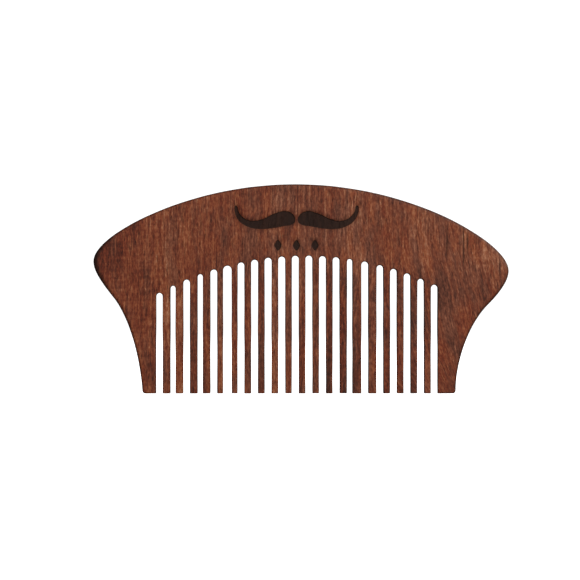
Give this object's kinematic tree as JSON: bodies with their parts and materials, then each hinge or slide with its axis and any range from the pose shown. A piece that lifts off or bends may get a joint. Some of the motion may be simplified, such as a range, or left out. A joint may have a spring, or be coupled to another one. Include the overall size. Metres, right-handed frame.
{
  "type": "beard comb",
  "caption": "Flat wooden beard comb with an arched crown, flared ends, square-cut teeth and sawn slots with round ends between them.",
  "frame": {"origin": "on the plane of the tooth tips, at the middle of the comb's length and of its thickness", "axes": "+X along the comb, +Z from the tooth tips up to the crown, -Y out of the engraved face"},
  "size_m": [0.11, 0.005, 0.0554],
  "materials": {
    "comb_wood": "oiled satin, open grain running along the teeth, darkened edges"
  },
  "bodies": {
    "root": {"spine": "comb_wood", "guard_tooth_left": "comb_wood", "guard_tooth_right": "comb_wood", "tooth_01": "comb_wood", "tooth_02": "comb_wood", "tooth_03": "comb_wood", "tooth_04": "comb_wood", "tooth_05": "comb_wood", "tooth_06": "comb_wood", "tooth_07": "comb_wood", "tooth_08": "comb_wood", "tooth_09": "comb_wood", "tooth_10": "comb_wood", "tooth_11": "comb_wood", "tooth_12": "comb_wood", "tooth_13": "comb_wood", "tooth_14": "comb_wood", "tooth_15": "comb_wood", "tooth_16": "comb_wood", "tooth_17": "comb_wood", "tooth_18": "comb_wood", "tooth_19": "comb_wood", "tooth_20": "comb_wood"}
  },
  "joints": []
}
